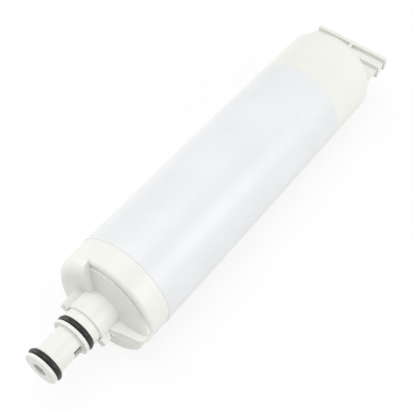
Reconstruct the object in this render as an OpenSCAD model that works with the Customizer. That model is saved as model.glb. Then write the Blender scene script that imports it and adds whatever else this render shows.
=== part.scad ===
// Quarter-turn water filter cartridge for a refrigerator's base grille.
// X runs along the axis and points out of the nozzle, Y along the handle rail, Z up.
// The origin is the centre of the nozzle's tip face, so the body lies at negative X.
// Stations are distances behind the tip face. Inside the modules z = -station.

/* [Body] */
// Outside diameter of the housing tube
body_d = 60; // [52:0.5:70]
// Wall of the housing tube
tube_wall = 2.6; // [2:0.1:3.6]
// Length of the straight tube, from the shoulder to the end cap joint
tube_l = 212.4; // [150:0.2:260]
// Plastic between the shoulder's lowest floor and the inside of the tube
front_wall = 3; // [2:0.1:4]

/* [Nozzle] */
// Diameter of the land at the tip
tip_d = 19.6; // [18.8:0.1:20.2]
// Length of that land
tip_l = 2; // [1.4:0.1:3]
// Diameter of the outlet bore
bore_d = 8; // [6:0.1:8.6]
// Diameter of the wall behind the tip seal
tip_wall_d = 19; // [18:0.1:19.6]
// Length of the flare from that wall to the barrel
flare_l = 3.4; // [2:0.1:4.4]
// Diameter of the barrel between the seals
barrel_d = 17.1; // [16.4:0.1:17.9]
// Length of the barrel behind the flare
barrel_l = 13; // [10:0.1:18]
// Diameter of the flange ahead of the base seal
flange_d = 22; // [21:0.1:22.4]
// Thickness of that flange
flange_l = 1.9; // [1.2:0.1:3]
// Diameter of the post behind the base seal
post_d = 21.6; // [20.8:0.1:22.2]
// Length of the post
post_l = 4.7; // [3:0.1:8]
// Diameter of the collar that carries the lugs
collar_d = 24; // [23:0.1:25.4]
// Length of the collar, from the post to the shoulder's floor
collar_l = 13.5; // [12:0.1:18]
// Chamfer on the collar's and the tip's front edges
edge_c = 0.4; // [0.1:0.1:0.7]

/* [Ports] */
// Length of the inlet windows along the barrel
port_l = 5.5; // [4:0.1:7]
// Width of the inlet windows
port_w = 6; // [4:0.1:7]
// Plastic between a window and the flange
port_back = 0.5; // [0.3:0.1:2]
// Wall of the tube round the outlet bore
inner_wall = 1.6; // [1.2:0.1:1.8]
// Width of the ring channel between that tube and the barrel
channel_w = 1.3; // [1:0.1:1.4]

/* [Seals] */
// Cord diameter of the two nozzle seals
seal_cord = 3.2; // [2.8:0.1:3.4]
// Outside diameter of the tip seal
tip_seal_d = 21; // [20.4:0.1:22]
// Outside diameter of the base seal
base_seal_d = 22.8; // [22.4:0.1:24]
// Play along the axis between a seal and its groove
groove_play = 0.3; // [0.2:0.05:0.6]

/* [Bayonet] */
// Height of the lugs above the collar
lug_h = 3.2; // [2:0.1:4.4]
// Length of the lugs along the axis
lug_l = 13.3; // [8:0.1:15]
// Width of the lugs round the collar
lug_w = 6; // [4:0.1:9]
// How far the lugs start ahead of the collar's front edge
lug_lead = 1; // [0.2:0.1:2]
// Radius on the lugs' outer corners
lug_r = 1; // [0.4:0.1:1.8]
// Angle of the first lug, from the rail towards the top
lug_a = -22.5; // [-40:0.5:-10]
// Depth of the pocket in the first lug's upper side
pocket_h = 1.8; // [0.8:0.1:2.6]
// Length of that pocket along the axis
pocket_l = 3.2; // [2:0.1:4]

/* [Shoulder] */
// How far the raised face stands ahead of the floor at the collar
face_lead = 2.5; // [1.5:0.1:4]
// Radius from the raised face to the tube
shoulder_r = 7; // [4:0.1:8]
// Drop of the window's floor from the collar to its outer edge
floor_drop = 2.7; // [1:0.1:4]
// Radius of the window's outer edge, inside the tube's radius
floor_in = 5; // [4:0.1:8]
// Depth of the groove along that edge
edge_groove = 1.6; // [0.6:0.1:2]
// Radius from the window's rim to the tube
rim_r = 2.4; // [1.5:0.1:2.8]
// Angle at which the window ends, from the rail towards the top
window_a = 110; // [90:1:130]
// Rise of the cam above the raised face, at the collar
cam_rise_in = 5.2; // [2:0.1:8]
// Rise of the cam above the raised face, halfway out
cam_rise_mid = 3.7; // [1.5:0.1:6]
// Rise of the cam above the raised face, at its rim
cam_rise_out = 1.5; // [0.6:0.1:2.5]
// Angle over which the window's floor climbs to the step
climb_a = 30; // [15:1:60]
// How far the floor at the step stays behind the raised face
step_low = 1; // [0.4:0.1:2]

/* [End cap] */
// Radius of the rounded far edge
cap_r = 7.6; // [5:0.1:9]
// Thickness of the cap's end wall
cap_wall = 3; // [2:0.1:4]
// Length of the cap's spigot inside the tube
spigot_l = 6; // [4:0.1:9]
// Wall of the spigot
spigot_wall = 2.4; // [1.6:0.1:3]
// Radial gap between spigot and tube
spigot_gap = 0.1; // [0.05:0.01:0.2]

/* [Handle rail] */
// Length of the flanges
rail_l = 51.6; // [40:0.2:56]
// Width of the flanges
rail_w = 8.6; // [6:0.1:12]
// Length of the web
web_l = 49; // [36:0.2:50]
// Thickness of the web
web_t = 3; // [2:0.1:4]
// Free length of the web between the end cap and the inner flange
web_free = 16.1; // [10:0.1:24]
// Thickness of the inner flange
rail_in_t = 4.4; // [2:0.1:6]
// Width of the groove between the flanges
rail_gap = 4.4; // [4.2:0.1:8]
// Thickness of the outer flange
rail_out_t = 2.7; // [2:0.1:5]
// Radius on the flanges' corners
rail_r = 1; // [0.3:0.1:2]
// Thickness of the rib across the rail's middle
rib_t = 2; // [1:0.1:4]
// How far the rib stays below the flanges' sides
rib_low = 0.3; // [0.1:0.1:1.2]

/* [Label] */
// Distance from the start of the tube to the label
label_gap = 13.3; // [4:0.1:30]
// Length of the label
label_l = 164.2; // [100:0.2:180]
// Thickness of the label
label_t = 0.15; // [0.08:0.01:0.3]
// Thickness of the glue under the label
glue_t = 0.03; // [0.01:0.01:0.1]
// Opening between the label's two ends, underneath
label_open_a = 8; // [2:1:40]

/* [Filter element] */
// Gap between the element's caps and the tube
flow_gap = 2.8; // [1.6:0.1:4]
// Wall of the element caps' skirts
skirt_t = 1; // [0.8:0.1:1.6]
// Depth of those skirts
skirt_l = 5.5; // [3:0.1:9]
// Thickness of the element caps' plates
plate_t = 2.5; // [1.6:0.1:4]
// Thickness of the outer net
net_t = 0.5; // [0.3:0.1:0.8]
// Thickness of the felt round the carbon
felt_t = 1; // [0.6:0.1:2]
// Diameter of the hole through the carbon
core_d = 14; // [12:0.5:18]
// Length of the inner tube's free end in the housing
tail_l = 12; // [8:0.5:20]
// Cord diameter of the seal on the inner tube
cap_seal_cord = 2.2; // [1.6:0.1:2.4]
// Wall of the front cap's collar outside that seal
cap_collar_wall = 2.2; // [1.4:0.1:3]
// Length of that collar
cap_collar_l = 7; // [6:0.1:8]
// Diameter of the rear cap's locating post
locator_d = 11.6; // [8:0.1:14]
// Wall of the ring that holds that post
locator_wall = 2.2; // [1.4:0.1:3]
// Depth of that ring
locator_l = 6; // [3:0.1:8]
// Gap round parts that are pushed together
push_gap = 0.1; // [0.05:0.01:0.2]
// Distance from the rear cap's plate to the end cap's inside
rear_space = 11; // [8:0.5:20]

/* [Hidden] */
$fn = 96;
eps = 0.01;
cam_steps = 50;
climb_steps = 8;
body_r = body_d / 2;
cavity_r = body_r - tube_wall;
bore_r = bore_d / 2;
inner_r = bore_r + inner_wall;
channel_r = inner_r + channel_w;
barrel_r = barrel_d / 2;
collar_r = collar_d / 2;
groove_w = seal_cord + groove_play;
tip_floor_r = tip_seal_d / 2 - seal_cord;
base_floor_r = base_seal_d / 2 - seal_cord;
// stations, counted back from the tip face
s_groove1 = tip_l;
s_flare = s_groove1 + groove_w;
s_barrel = s_flare + flare_l;
s_flange = s_barrel + barrel_l;
s_groove2 = s_flange + flange_l;
s_post = s_groove2 + groove_w;
s_collar = s_post + post_l;
s_floor = s_collar + collar_l;
s_face = s_floor - face_lead;
s_side = s_face + shoulder_r;
floor_r = body_r - floor_in;
s_edge = s_floor + floor_drop;
s_deep = s_edge + edge_groove;
s_rim = s_edge + 0.8;
s_rim_side = s_rim + rim_r;
s_cavity = max(s_deep, s_rim_side, s_side) + front_wall;
s_joint = s_side + tube_l;
s_end = s_joint + cap_r;
s_rail_in = s_end + web_free;
s_groove3 = s_rail_in + rail_in_t;
s_rail_out = s_groove3 + rail_gap;
s_last = s_rail_out + rail_out_t;
s_port = s_flange - port_back - port_l;
s_tail = s_cavity + tail_l;
s_label = s_side + label_gap;
s_cap_in = s_end - cap_wall;
// filter element, from the outside in
skirt_r = cavity_r - flow_gap;
net_r = skirt_r - skirt_t - push_gap;
felt_r = net_r - net_t;
block_r = felt_r - felt_t;
core_r = core_d / 2;
s_block = s_tail + plate_t;
s_rear = s_cap_in - rear_space;
s_block_end = s_rear - plate_t;
cap_groove_r = inner_r + cap_seal_cord;
cap_collar_r = cap_groove_r + cap_collar_wall;
s_cap_seal = s_tail - cap_collar_l / 2;
locator_r = locator_d / 2;

// Lays a piece built round z into the part's frame: x to Y, y to Z, z to X
module lay() rotate([90, 0, 90]) children();

// A plain ring between two radii and two stations
module ring(r_out, r_in, s1, s2)
  rotate_extrude() translate([r_in, -s2]) square([r_out - r_in, s2 - s1]);

// A rounded rectangle, centred
module rounded(w, h, r) {
  square([w - 2 * r, h], center = true);
  square([w, h - 2 * r], center = true);
  for (x = [-1, 1], y = [-1, 1])
    translate([x * (w / 2 - r), y * (h / 2 - r)]) circle(r, $fn = 32);
}

function mix(a, b, t) = a + (b - a) * t;

// Carries a radial profile of [radius, station] pairs round the axis, changing from p0 to p1
module swept(a0, a1, p0, p1, base, n) {
  m = len(p0);
  k = m + 2;
  full0 = concat(p0, [[p0[m - 1][0], base], [p0[0][0], base]]);
  full1 = concat(p1, [[p1[m - 1][0], base], [p1[0][0], base]]);
  pts = [for (i = [0:n], j = [0:k - 1]) let (t = i / n, a = mix(a0, a1, t), q = mix(full0[j], full1[j], t))
    [q[0] * cos(a), q[0] * sin(a), -q[1]]];
  faces = concat(
    [for (i = [0:n - 1], j = [0:k - 1]) [i * k + j, (i + 1) * k + j, (i + 1) * k + (j + 1) % k]],
    [for (i = [0:n - 1], j = [0:k - 1]) [i * k + j, (i + 1) * k + (j + 1) % k, i * k + (j + 1) % k]],
    [for (j = [0:k - 3]) [k - 1, j, j + 1]],
    [for (j = [0:k - 3]) [n * k + k - 1, n * k + j + 1, n * k + j]]);
  polyhedron(pts, faces);
}

// Nozzle: tip land, two seal grooves, flared barrel, flange, post and collar
module nozzle_section() {
  flare = [for (i = [0:6]) let (a = 90 * i / 6)
    [barrel_r + (tip_wall_d / 2 - barrel_r) * (1 - sin(a)), -(s_barrel - flare_l * cos(a))]];
  polygon(concat(
    [[0, 0], [tip_d / 2 - edge_c, 0], [tip_d / 2, -edge_c], [tip_d / 2, -s_groove1],
     [tip_floor_r, -s_groove1], [tip_floor_r, -s_flare]],
    flare,
    [[barrel_r, -s_flange], [flange_d / 2, -s_flange], [flange_d / 2, -s_groove2],
     [base_floor_r, -s_groove2], [base_floor_r, -s_post], [post_d / 2, -s_post],
     [post_d / 2, -s_collar], [collar_r - edge_c, -s_collar], [collar_r, -s_collar - edge_c],
     [collar_r, -s_cavity], [0, -s_cavity]]));
}

// Points on an arc in a section, from angle a0 to a1
function arc(x, z, r, a0, a1, n = 12) = [for (i = [0:n]) let (a = mix(a0, a1, i / n)) [x + r * cos(a), z + r * sin(a)]];

// Tube with the window's floor at its front
module tube_section()
  polygon(concat([[0, -s_joint], [body_r, -s_joint]], arc(body_r - rim_r, -s_rim_side, rim_r, 0, 90),
    [[floor_r + 2, -s_deep], [floor_r + 0.8, -s_deep], [floor_r, -s_edge], [collar_r, -s_floor], [0, -s_floor]]));

// Raised front face with its large radius
module raised_section()
  polygon(concat([[collar_r - 1, -s_rim_side - 1], [body_r, -s_rim_side - 1]],
    arc(body_r - shoulder_r, -s_side, shoulder_r, 0, 90), [[collar_r - 1, -s_face]]));

// A bayonet lug seen from the side: radius along x, station down
module lug_section() {
  top = collar_r + lug_h;
  translate([collar_r - 1, lug_lead - s_collar - lug_l]) square([lug_h + 1 - lug_r, lug_l]);
  translate([collar_r - 1, lug_lead - s_collar - lug_l + lug_r]) square([lug_h + 1, lug_l - 2 * lug_r]);
  for (s = [s_collar - lug_lead + lug_r, s_collar - lug_lead + lug_l - lug_r])
    translate([top - lug_r, -s]) circle(lug_r, $fn = 32);
}

module lug() rotate([90, 0, 0]) linear_extrude(lug_w, center = true) lug_section();

module cam() {
  rim = body_r - 0.4;
  swept(window_a + 2, 360,
    [[collar_r - 1, s_face + 1], [collar_r + 1, s_face + 1], [collar_r + 5, s_face + 1],
     [rim - 4.6, s_face + 1], [rim - 3.6, s_face + 2]],
    [[collar_r - 1, s_face - cam_rise_in], [collar_r + 1, s_face - cam_rise_in],
     [collar_r + 5, s_face - cam_rise_mid], [rim - 2, s_face - cam_rise_out], [rim, s_face - cam_rise_out + 1.4]],
    s_rim_side + 1, cam_steps);
}

module climb() {
  rim = body_r - 0.4;
  low = s_face + step_low;
  swept(-4, climb_a,
    [[collar_r - 1, low], [collar_r + 6, low + 0.2], [rim - 2, low + 0.6], [rim, low + 2]],
    [[collar_r - 1, s_floor + 1], [collar_r + 6, s_edge - 0.4], [rim - 4, s_deep + 0.6], [rim - 3.4, s_deep + 0.8]],
    s_rim_side + 1, climb_steps);
}

module housing() color("#e2e3dd") lay() difference() {
  union() {
    rotate_extrude() nozzle_section();
    rotate_extrude() tube_section();
    rotate(window_a) rotate_extrude(angle = 359.4 - window_a) raised_section();
    cam();
    climb();
    for (a = [lug_a, lug_a + 180]) rotate(a) lug();
  }
  // room for the element, leaving the inner tube's free end
  rotate_extrude() polygon([[inner_r, -s_cavity], [cavity_r, -s_cavity], [cavity_r, -s_joint - 1],
    [0, -s_joint - 1], [0, -s_tail], [inner_r, -s_tail]]);
  // outlet bore
  translate([0, 0, -s_tail - 1]) cylinder(r = bore_r, h = s_tail + 2);
  // ring channel from the windows to the tube
  ring(channel_r, inner_r, s_port - 0.6, s_cavity + 1);
  // inlet windows
  for (a = [0, 180]) rotate(a)
    translate([channel_r - 0.4, -port_w / 2, -s_port - port_l]) cube([barrel_r, port_w, port_l]);
  // three-cornered pocket in the first lug's upper side
  rotate(lug_a) translate([0, lug_w / 2 - pocket_h, 0]) rotate([-90, 0, 0]) linear_extrude(pocket_h + 1)
    polygon([[collar_r + lug_h + 1, s_collar + 0.4 * pocket_l], [collar_r + lug_h + 1, s_collar + 1.6 * pocket_l],
      [collar_r + 0.5, s_collar + 1.6 * pocket_l]]);
}

module end_cap_section() {
  translate([0, -s_end]) square([body_r - cap_r, cap_r]);
  translate([body_r - cap_r, -s_joint]) intersection() {
    circle(cap_r);
    translate([-eps, -cap_r - 1]) square([cap_r + 1, cap_r + 1]);
  }
  translate([0, -s_joint - 1]) square([cavity_r - spigot_gap, spigot_l + 1]);
}

module end_cap() color("#e4e5df") lay() {
  hollow_r = cavity_r - spigot_gap - spigot_wall;
  difference() {
    rotate_extrude() end_cap_section();
    rotate_extrude() polygon([[0, -s_joint + spigot_l + 1], [hollow_r, -s_joint + spigot_l + 1],
      [hollow_r, -s_cap_in + 2], [hollow_r - 2, -s_cap_in], [0, -s_cap_in]]);
  }
  ring(locator_r + push_gap + locator_wall, locator_r + push_gap, s_cap_in - locator_l, s_cap_in + eps);
  // web, the two flanges and the rib across them
  translate([0, 0, -s_last + eps]) linear_extrude(s_last - s_end + 1.6)
    square([web_l, web_t], center = true);
  translate([0, 0, -s_groove3]) linear_extrude(rail_in_t) rounded(rail_l, rail_w, rail_r);
  translate([0, 0, -s_last]) linear_extrude(rail_out_t) rounded(rail_l, rail_w, rail_r);
  translate([-rib_t / 2, rib_low - rail_w / 2, -s_last + 1])
    cube([rib_t, rail_w - 2 * rib_low, s_last - s_end]);
}

module label() color("#d8dadb") lay() rotate(label_open_a / 2 - 90)
  rotate_extrude(angle = 360 - label_open_a) translate([body_r + glue_t, -s_label - label_l]) square([label_t, label_l]);

module tip_seal() color("#1c1a1a") lay()
  rotate_extrude() translate([tip_floor_r + seal_cord / 2, -s_groove1 - groove_w / 2]) circle(seal_cord / 2, $fn = 32);

module base_seal() color("#1c1a1a") lay()
  rotate_extrude() translate([base_floor_r + seal_cord / 2, -s_groove2 - groove_w / 2]) circle(seal_cord / 2, $fn = 32);

module front_block_cap() color("#f2f2ee") lay() {
  difference() {
    ring(cap_collar_r, inner_r + push_gap, s_tail - cap_collar_l, s_tail + eps);
    ring(cap_groove_r, inner_r, s_cap_seal - cap_seal_cord / 2 - 0.2, s_cap_seal + cap_seal_cord / 2 + 0.2);
  }
  ring(skirt_r, bore_r, s_tail, s_block);
  ring(skirt_r, net_r + push_gap, s_block - eps, s_block + skirt_l);
  ring(core_r - push_gap, core_r - 2, s_block - eps, s_block + skirt_l);
}

module cap_seal() color("#242222") lay()
  rotate_extrude() translate([inner_r + cap_seal_cord / 2, -s_cap_seal]) circle(cap_seal_cord / 2, $fn = 32);

module carbon_block() color("#2c2c2e") lay() ring(block_r, core_r, s_block, s_block_end);

module felt_wrap() color("#efefe9") lay() ring(felt_r, block_r, s_block, s_block_end);

module net_sleeve() color("#cfe3ea") lay() ring(net_r, felt_r, s_block, s_block_end);

module rear_block_cap() color("#f2f2ee") lay() {
  ring(skirt_r, 0, s_block_end, s_rear);
  ring(skirt_r, net_r + push_gap, s_block_end - skirt_l, s_block_end + eps);
  ring(core_r - push_gap, core_r - 2, s_block_end - skirt_l, s_block_end + eps);
  ring(locator_r, 0, s_rear - eps, s_cap_in);
}

housing();
end_cap();
label();
tip_seal();
base_seal();
front_block_cap();
cap_seal();
carbon_block();
felt_wrap();
net_sleeve();
rear_block_cap();
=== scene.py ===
import bpy
from mathutils import Vector, Matrix

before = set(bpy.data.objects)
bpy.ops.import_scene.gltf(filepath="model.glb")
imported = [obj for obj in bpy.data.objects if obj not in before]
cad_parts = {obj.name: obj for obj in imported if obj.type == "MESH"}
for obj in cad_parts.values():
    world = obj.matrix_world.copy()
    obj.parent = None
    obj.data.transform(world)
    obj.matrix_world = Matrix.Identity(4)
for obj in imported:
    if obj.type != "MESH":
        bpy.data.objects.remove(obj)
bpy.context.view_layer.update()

scene = bpy.context.scene
scene.view_settings.view_transform = "Standard"
FLOOR_Z = -0.0302
FLOOR_SIZE = 6
FLOOR_GLOW = 0.8
WORLD_LIGHT = 0.62
WORLD_SEEN = 1.0
CAMERA_LENS = 71.39
CAMERA_PLACE = (0.0988, 0.1556, 0.3699)
CAMERA_RIGHT = (-0.6007, 0.7983, 0.0433)
CAMERA_UP = (-0.6264, -0.5037, 0.5949)
CAMERA_BACK = (0.4967, 0.3302, 0.8026)


# materials

def srgb(r, g, b):
    """Turns 0 to 255 screen values into a linear colour."""
    parts = [c / 255 for c in (r, g, b)]
    return tuple(p / 12.92 if p <= 0.04045 else ((p + 0.055) / 1.055) ** 2.4 for p in parts) + (1,)


class Mat:
    """A small helper round one node material."""

    def __init__(self, name, rough=0.4, **sockets):
        self.mat = bpy.data.materials.new(name)
        self.mat.use_nodes = True
        self.t = self.mat.node_tree
        self.bsdf = self.t.nodes["Principled BSDF"]
        self.bsdf.inputs["Roughness"].default_value = rough
        for k, v in sockets.items():
            self.bsdf.inputs[k.replace("_", " ")].default_value = v
        self.co = self.node("ShaderNodeTexCoord").outputs["Object"]

    def node(self, kind, **props):
        n = self.t.nodes.new(kind)
        for k, v in props.items():
            setattr(n, k, v)
        return n

    def link(self, a, b):
        self.t.links.new(a, b)

    def noise(self, scale, detail=3, rough=0.5, stretch=None):
        n = self.node("ShaderNodeTexNoise")
        n.inputs["Scale"].default_value = scale
        n.inputs["Detail"].default_value = detail
        n.inputs["Roughness"].default_value = rough
        if stretch:
            m = self.node("ShaderNodeMapping")
            m.inputs["Scale"].default_value = stretch
            self.link(self.co, m.inputs["Vector"])
            self.link(m.outputs[0], n.inputs["Vector"])
        else:
            self.link(self.co, n.inputs["Vector"])
        return n.outputs["Fac"]

    def ramp(self, fac, stops):
        r = self.node("ShaderNodeValToRGB")
        e = r.color_ramp.elements
        while len(e) < len(stops):
            e.new(0.5)
        for el, (p, c) in zip(e, stops):
            el.position = p
            el.color = c
        self.link(fac, r.inputs[0])
        return r.outputs[0]

    def color(self, out):
        self.link(out, self.bsdf.inputs["Base Color"])

    def rough(self, fac, lo, hi):
        m = self.node("ShaderNodeMapRange")
        m.inputs["To Min"].default_value = lo
        m.inputs["To Max"].default_value = hi
        self.link(fac, m.inputs["Value"])
        self.link(m.outputs[0], self.bsdf.inputs["Roughness"])

    def bump(self, fac, dist, strength=1.0):
        b = self.node("ShaderNodeBump")
        b.inputs["Distance"].default_value = dist
        b.inputs["Strength"].default_value = strength
        self.link(fac, b.inputs["Height"])
        self.link(b.outputs[0], self.bsdf.inputs["Normal"])


def plastic(name, light, dark, rough=0.36, grain=2600):
    m = Mat(name, rough)
    m.color(m.ramp(m.noise(28, 4), [(0.3, dark), (0.7, light)]))
    m.rough(m.noise(90, 3), rough - 0.05, rough + 0.07)
    m.bump(m.noise(grain, 2), 0.00004, 0.35)
    return m.mat


body_mat = plastic("moulded_plastic", srgb(226, 227, 221), srgb(222, 223, 216))
cap_mat = plastic("cap_plastic", srgb(236, 236, 230), srgb(232, 232, 226), 0.42)


def film():
    m = Mat("label_film", 0.3)
    m.color(m.ramp(m.noise(40, 3), [(0.3, srgb(217, 219, 220)), (0.7, srgb(221, 223, 224))]))
    m.rough(m.noise(160, 3), 0.26, 0.36)
    m.bump(m.noise(700, 2, stretch=(0.4, 1, 1)), 0.00002, 0.3)
    return m.mat


def rubber():
    m = Mat("seal_rubber", 0.32)
    m.color(m.ramp(m.noise(300, 3), [(0.3, srgb(20, 18, 18)), (0.75, srgb(32, 29, 28))]))
    m.rough(m.noise(500, 4), 0.24, 0.42)
    m.bump(m.noise(2500, 3), 0.00003, 0.4)
    return m.mat


def carbon():
    m = Mat("carbon", 0.85)
    m.color(m.ramp(m.noise(1400, 5), [(0.35, srgb(24, 24, 25)), (0.7, srgb(52, 52, 54))]))
    m.bump(m.noise(1800, 4), 0.0003, 0.8)
    return m.mat


def felt():
    m = Mat("felt", 0.9)
    m.color(m.ramp(m.noise(1200, 5), [(0.3, srgb(226, 225, 217)), (0.7, srgb(242, 241, 236))]))
    m.bump(m.noise(1600, 5), 0.0002, 0.7)
    return m.mat


def net():
    m = Mat("net", 0.5)
    w = m.node("ShaderNodeTexWave", wave_type="BANDS", bands_direction="DIAGONAL")
    w.inputs["Scale"].default_value = 120
    m.link(m.co, w.inputs["Vector"])
    m.color(m.ramp(w.outputs["Fac"], [(0.4, srgb(188, 214, 222)), (0.6, srgb(214, 232, 238))]))
    m.bump(w.outputs["Fac"], 0.0003, 0.8)
    return m.mat


film_mat, rubber_mat = film(), rubber()


def dress(node, mat):
    for o in [x for x in bpy.data.objects if x.type == "MESH" and x.name == node] or [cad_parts[node]]:
        for s in o.material_slots:
            s.material = mat
        if not o.material_slots:
            o.data.materials.append(mat)


for n in ("housing", "end_cap"):
    dress(n, body_mat)
dress("label", film_mat)
for n in ("tip_seal", "base_seal", "cap_seal"):
    dress(n, rubber_mat)
for n in ("front_block_cap", "rear_block_cap"):
    dress(n, cap_mat)
dress("carbon_block", carbon())
dress("felt_wrap", felt())
dress("net_sleeve", net())


# floor, backdrop, light and camera

def floor_mat():
    m = Mat("paper_floor", 0.9)
    m.color(m.ramp(m.noise(30, 3), [(0.3, (0.86, 0.86, 0.86, 1)), (0.7, (0.88, 0.88, 0.88, 1))]))
    lp = m.node("ShaderNodeLightPath")
    em = m.node("ShaderNodeEmission")
    em.inputs["Color"].default_value = (1, 1, 1, 1)
    em.inputs["Strength"].default_value = 1.0
    mx = m.node("ShaderNodeMixShader")
    k = m.node("ShaderNodeMath", operation="MULTIPLY")
    k.inputs[1].default_value = FLOOR_GLOW
    m.link(lp.outputs["Is Camera Ray"], k.inputs[0])
    m.link(k.outputs[0], mx.inputs[0])
    m.link(m.bsdf.outputs[0], mx.inputs[1])
    m.link(em.outputs[0], mx.inputs[2])
    m.link(mx.outputs[0], m.t.nodes["Material Output"].inputs["Surface"])
    return m.mat


bpy.ops.mesh.primitive_plane_add(size=FLOOR_SIZE, location=(-0.15, 0, FLOOR_Z))
floor = bpy.context.object
floor.name = "floor"
floor.data.materials.append(floor_mat())

world = bpy.data.worlds.new("light_tent")
scene.world = world
world.use_nodes = True
wt = world.node_tree
bg = wt.nodes["Background"]
bg.inputs["Color"].default_value = (1, 1, 1, 1)
lp = wt.nodes.new("ShaderNodeLightPath")
mr = wt.nodes.new("ShaderNodeMapRange")
mr.inputs["To Min"].default_value = WORLD_LIGHT
mr.inputs["To Max"].default_value = WORLD_SEEN
wt.links.new(lp.outputs["Is Camera Ray"], mr.inputs["Value"])
wt.links.new(mr.outputs[0], bg.inputs["Strength"])


def area(name, loc, target, size, power):
    d = bpy.data.lights.new(name, "AREA")
    d.shape = "RECTANGLE"
    d.size, d.size_y = size
    d.energy = power
    o = bpy.data.objects.new(name, d)
    scene.collection.objects.link(o)
    o.location = loc
    o.rotation_euler = (Vector(target) - Vector(loc)).to_track_quat("-Z", "Y").to_euler()
    return o


centre = (-0.15, 0, 0)
area("top_softbox", (-0.1, -0.1, 0.9), centre, (0.9, 0.9), 4.0)
area("left_softbox", (0.1, -0.9, 0.35), centre, (0.8, 0.5), 3.0)
area("right_softbox", (-0.35, 0.8, 0.4), centre, (0.8, 0.5), 3.0)

cam_data = bpy.data.cameras.new("camera")
cam_data.sensor_width = 36
cam_data.lens = CAMERA_LENS
cam = bpy.data.objects.new("camera", cam_data)
scene.collection.objects.link(cam)
axes = [Vector(v) for v in (CAMERA_RIGHT, CAMERA_UP, CAMERA_BACK)]
cam.matrix_world = Matrix.Translation(CAMERA_PLACE) @ Matrix(axes).transposed().to_4x4()
scene.camera = cam
